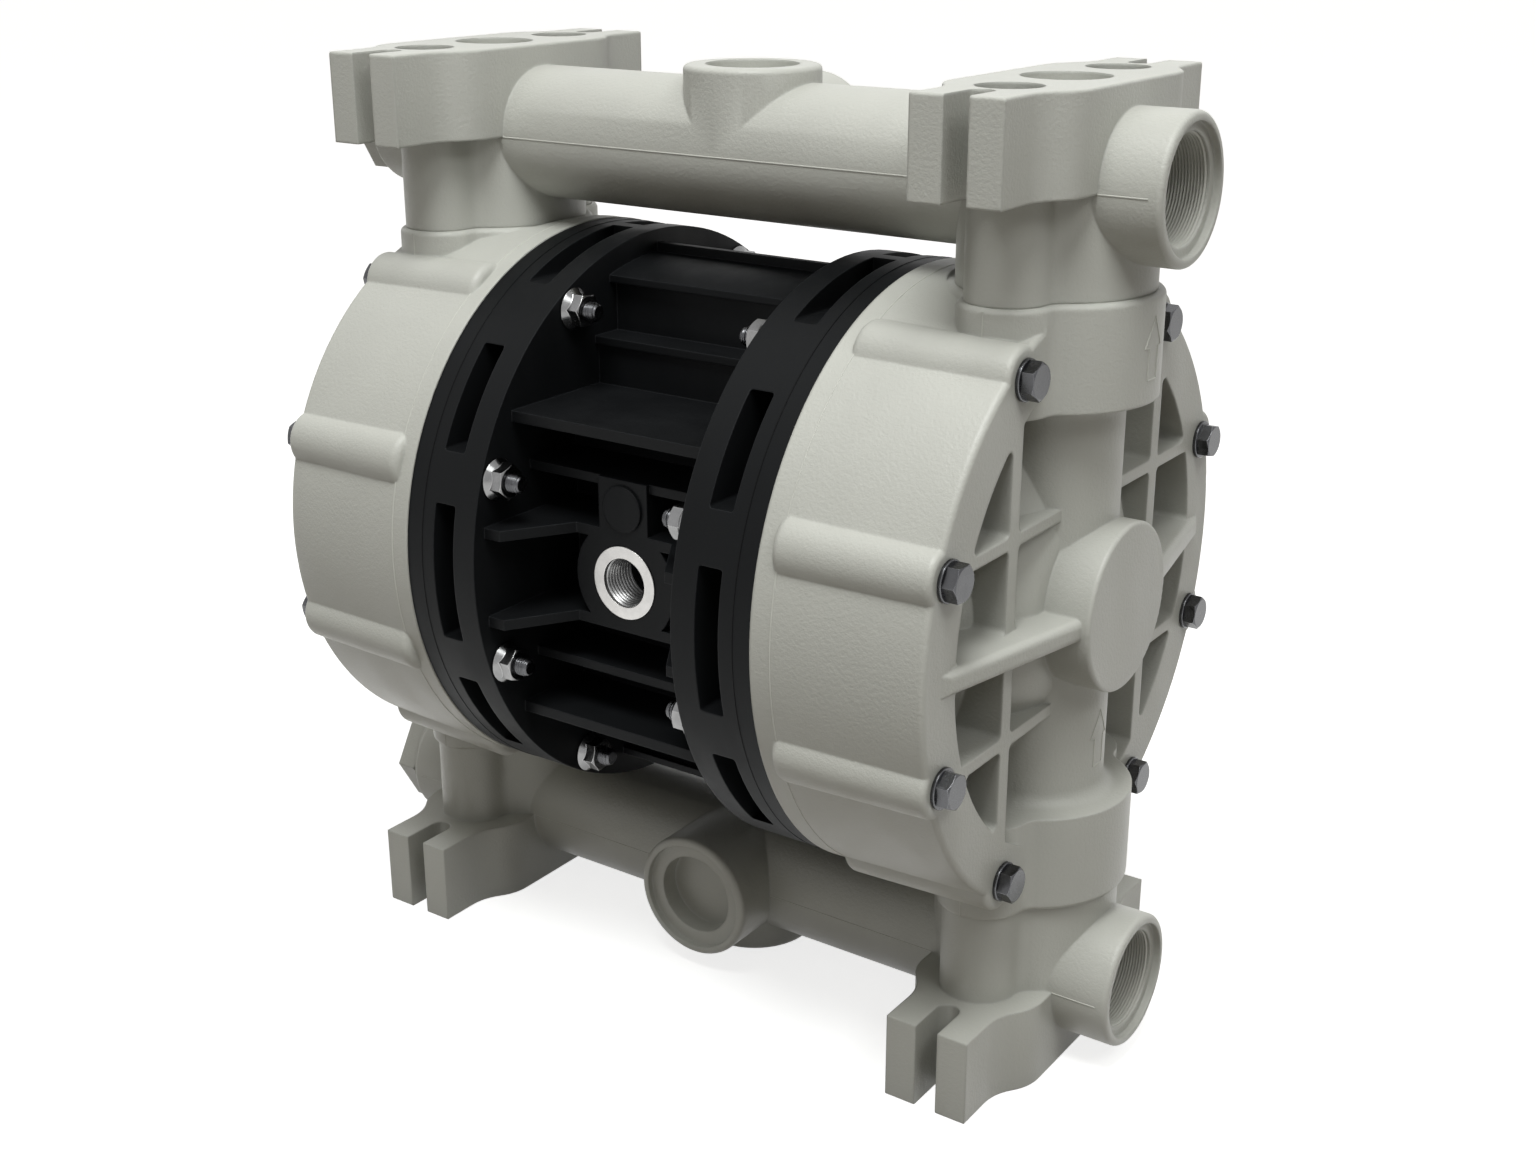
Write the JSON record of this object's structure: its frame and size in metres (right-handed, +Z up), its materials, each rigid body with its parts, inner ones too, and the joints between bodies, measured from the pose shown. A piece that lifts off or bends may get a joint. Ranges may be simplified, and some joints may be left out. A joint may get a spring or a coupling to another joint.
{
  "type": "air operated diaphragm pump",
  "caption": "Air operated diaphragm pump: ribbed domed casings bolted to a black air block, joined by suction and delivery manifolds with threaded ports, ball valves and slotted feet.",
  "frame": {"origin": "on the floor plane of the feet, straight under the middle of the diaphragm shaft", "axes": "+X along the diaphragm shaft towards the open pipe ports, -Y towards the air inlet, +Z up"},
  "size_m": [0.4034, 0.253, 0.402],
  "materials": {
    "light_plastic": "satin",
    "black_plastic": "satin",
    "stainless": "bright",
    "white_polymer": "smooth",
    "aluminium": "machined",
    "brass": "machined",
    "sintered_bronze": "grainy",
    "rubber": "matt"
  },
  "bodies": {
    "pump": {"air_inlet_bush": "stainless", "backup_diaphragm_left": "rubber", "backup_diaphragm_right": "rubber", "ball_cage_delivery_left": "light_plastic", "ball_cage_delivery_right": "light_plastic", "ball_cage_suction_left": "light_plastic", "ball_cage_suction_right": "light_plastic", "casing_bolts_left": "stainless", "casing_bolts_right": "stainless", "casing_left": "light_plastic", "casing_nuts_left": "stainless", "casing_nuts_right": "stainless", "casing_right": "light_plastic", "casing_washers_left": "stainless", "casing_washers_right": "stainless", "centre_block": "black_plastic", "channel_plug": "black_plastic", "exhaust_silencer": "sintered_bronze", "fluid_diaphragm_left": "white_polymer", "fluid_diaphragm_right": "white_polymer", "manifold_bolts_bottom": "stainless", "manifold_bolts_top": "stainless", "manifold_bottom": "light_plastic", "manifold_inserts_bottom": "brass", "manifold_inserts_top": "brass", "manifold_plug_bottom": "light_plastic", "manifold_plug_top": "light_plastic", "manifold_top": "light_plastic", "manifold_washers_bottom": "stainless", "manifold_washers_top": "stainless", "plug_gasket_bottom": "rubber", "plug_gasket_top": "rubber", "seat_seal_delivery_left": "white_polymer", "seat_seal_delivery_right": "white_polymer", "seat_seal_suction_left": "white_polymer", "seat_seal_suction_right": "white_polymer", "shaft_bush_left": "brass", "shaft_bush_right": "brass", "shaft_seal_left": "rubber", "shaft_seal_right": "rubber", "sleeve_seals": "rubber", "valve_seat_delivery_left": "light_plastic", "valve_seat_delivery_right": "light_plastic", "valve_seat_suction_left": "light_plastic", "valve_seat_suction_right": "light_plastic", "valve_sleeve": "brass"},
    "shaft": {"diaphragm_shaft": "stainless", "outer_plate_left": "white_polymer", "outer_plate_right": "white_polymer", "inner_plate_left": "aluminium", "inner_plate_right": "aluminium"},
    "spool": {"valve_spool": "aluminium", "spool_seals": "rubber"},
    "ball_suction_left": {"valve_ball_suction_left": "white_polymer"},
    "ball_suction_right": {"valve_ball_suction_right": "white_polymer"},
    "ball_delivery_left": {"valve_ball_delivery_left": "white_polymer"},
    "ball_delivery_right": {"valve_ball_delivery_right": "white_polymer"}
  },
  "joints": [
    {"name": "shaft_slide", "type": "slide", "parent": "pump", "child": "shaft", "axis": [1, 0, 0], "range_m": [-0.011, 0.011], "deforming": ["backup_diaphragm_left", "backup_diaphragm_right", "fluid_diaphragm_left", "fluid_diaphragm_right"]},
    {"name": "spool_slide", "type": "slide", "parent": "pump", "child": "spool", "axis": [1, 0, 0], "range_m": [-0.004, 0.004]},
    {"name": "ball_suction_left_lift", "type": "slide", "parent": "pump", "child": "ball_suction_left", "axis": [0, 0, 1], "range_m": [0, 0.008]},
    {"name": "ball_suction_right_lift", "type": "slide", "parent": "pump", "child": "ball_suction_right", "axis": [0, 0, 1], "range_m": [0, 0.008]},
    {"name": "ball_delivery_left_lift", "type": "slide", "parent": "pump", "child": "ball_delivery_left", "axis": [0, 0, 1], "range_m": [0, 0.008]},
    {"name": "ball_delivery_right_lift", "type": "slide", "parent": "pump", "child": "ball_delivery_right", "axis": [0, 0, 1], "range_m": [0, 0.008]}
  ]
}
